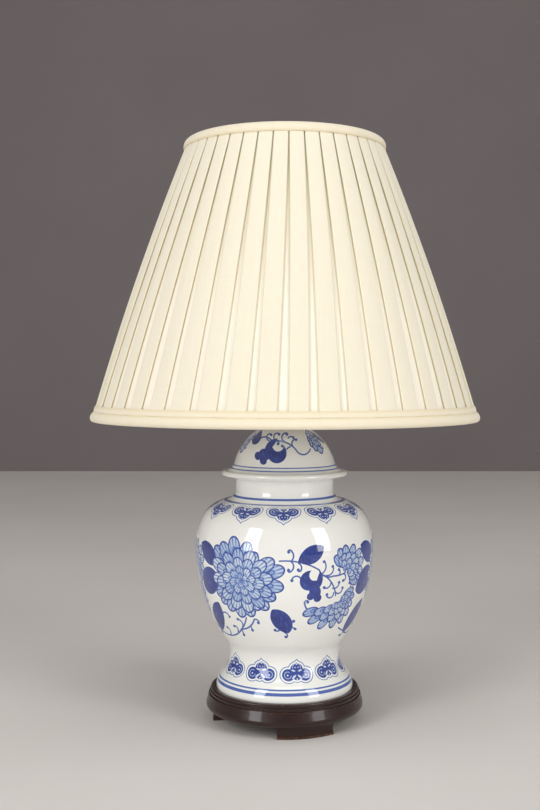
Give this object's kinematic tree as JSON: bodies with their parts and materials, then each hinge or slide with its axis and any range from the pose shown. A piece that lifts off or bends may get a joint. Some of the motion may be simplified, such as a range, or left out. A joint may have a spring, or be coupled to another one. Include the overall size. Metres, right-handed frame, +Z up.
{
  "type": "ginger jar table lamp",
  "caption": "Lidded ginger jar lamp in blue and white porcelain on a dark round footed stand, with a harp and a pleated ivory empire shade.",
  "frame": {"origin": "on the table under the middle of the lamp: bottom centre of the bounding box", "axes": "+Z up the lamp's axis, -Y towards the front (the side pictured), +X to the right seen from the front"},
  "size_m": [0.3558, 0.3558, 0.5511],
  "materials": {
    "lacquered_wood": "high gloss dark brown lacquer",
    "black_plastic": "moulded",
    "steel": "zinc plated",
    "felt": "pressed felt",
    "porcelain": "white glaze with blue painting under it",
    "rubber": "matte",
    "brass": "polished and lacquered",
    "card": "pressed fibre",
    "aluminium": "drawn",
    "black_glass": "black vitrified glass",
    "frosted_glass": "frosted inside",
    "clear_glass": "clear",
    "styrene": "translucent sheet",
    "shade_fabric": "ivory fabric in box pleats",
    "trim_fabric": "ivory fabric, folded"
  },
  "bodies": {
    "base": {"wood_stand": "lacquered_wood", "cord_bushing": "black_plastic", "bottom_nut": "steel", "bottom_washer": "steel", "centre_rod": "steel", "jar_pad": "felt", "jar_body": "porcelain", "jar_lid": "porcelain", "lid_washer": "rubber", "vase_cap": "brass", "neck_spacer": "brass", "harp_saddle": "brass", "socket_cap": "brass", "cap_set_screw": "steel", "socket_shell": "brass", "socket_liner": "card", "socket_interior": "black_plastic", "terminal_screws": "brass", "screw_shell": "aluminium", "centre_contact": "brass"},
    "switch": {"switch_shaft": "black_plastic", "switch_knob": "black_plastic"},
    "bulb": {"bulb_glass": "frosted_glass", "bulb_insulator": "black_glass", "bulb_contact": "steel"},
    "bulb_screw": {"bulb_base": "aluminium", "bulb_stem": "clear_glass", "bulb_filament": "steel"},
    "harp": {"harp_bow": "brass", "harp_stud": "brass"},
    "sleeve_left": {"harp_sleeve_left": "brass"},
    "sleeve_right": {"harp_sleeve_right": "brass"},
    "shade": {"shade_backing": "styrene", "pleated_cover": "shade_fabric", "top_trim": "trim_fabric", "hem_roll": "trim_fabric", "hem_band": "trim_fabric", "top_ring": "steel", "bottom_ring": "steel", "spider_washer": "brass", "spider_arms": "brass"},
    "finial": {"finial_base": "brass"},
    "finial_grip": {"finial_knob": "brass"}
  },
  "joints": [
    {"name": "switch_turn", "type": "hinge", "parent": "base", "child": "switch", "pos_m": [0, -0.019, 0.31126], "axis": [0, -1, 0], "continuous": true},
    {"name": "bulb_lift", "type": "slide", "parent": "base", "child": "bulb", "axis": [0, 0, 1], "range_m": [0, 0.02178]},
    {"name": "bulb_turn", "type": "hinge", "parent": "bulb", "child": "bulb_screw", "pos_m": [0, 0, 0.335], "axis": [0, 0, 1], "range_deg": [0, 2161]},
    {"name": "harp_lift", "type": "slide", "parent": "base", "child": "harp", "axis": [0, 0, 1], "range_m": [0, 0.015]},
    {"name": "sleeve_left_slide", "type": "slide", "parent": "harp", "child": "sleeve_left", "axis": [0, 0, 1], "range_m": [0, 0.024]},
    {"name": "sleeve_right_slide", "type": "slide", "parent": "harp", "child": "sleeve_right", "axis": [0, 0, 1], "range_m": [0, 0.024]},
    {"name": "shade_turn", "type": "hinge", "parent": "harp", "child": "shade", "pos_m": [0, 0, 0.5159], "axis": [0, 0, 1], "continuous": true},
    {"name": "finial_lift", "type": "slide", "parent": "harp", "child": "finial", "axis": [0, 0, 1], "range_m": [0, 0.00846]},
    {"name": "finial_turn", "type": "hinge", "parent": "finial", "child": "finial_grip", "pos_m": [0, 0, 0.535], "axis": [0, 0, 1], "range_deg": [0, 3241]}
  ],
  "couplings": [
    {"joint": "bulb_turn", "follows": "bulb_lift", "rad_per_m": 1730.9},
    {"joint": "finial_turn", "follows": "finial_lift", "rad_per_m": 6684.2}
  ]
}
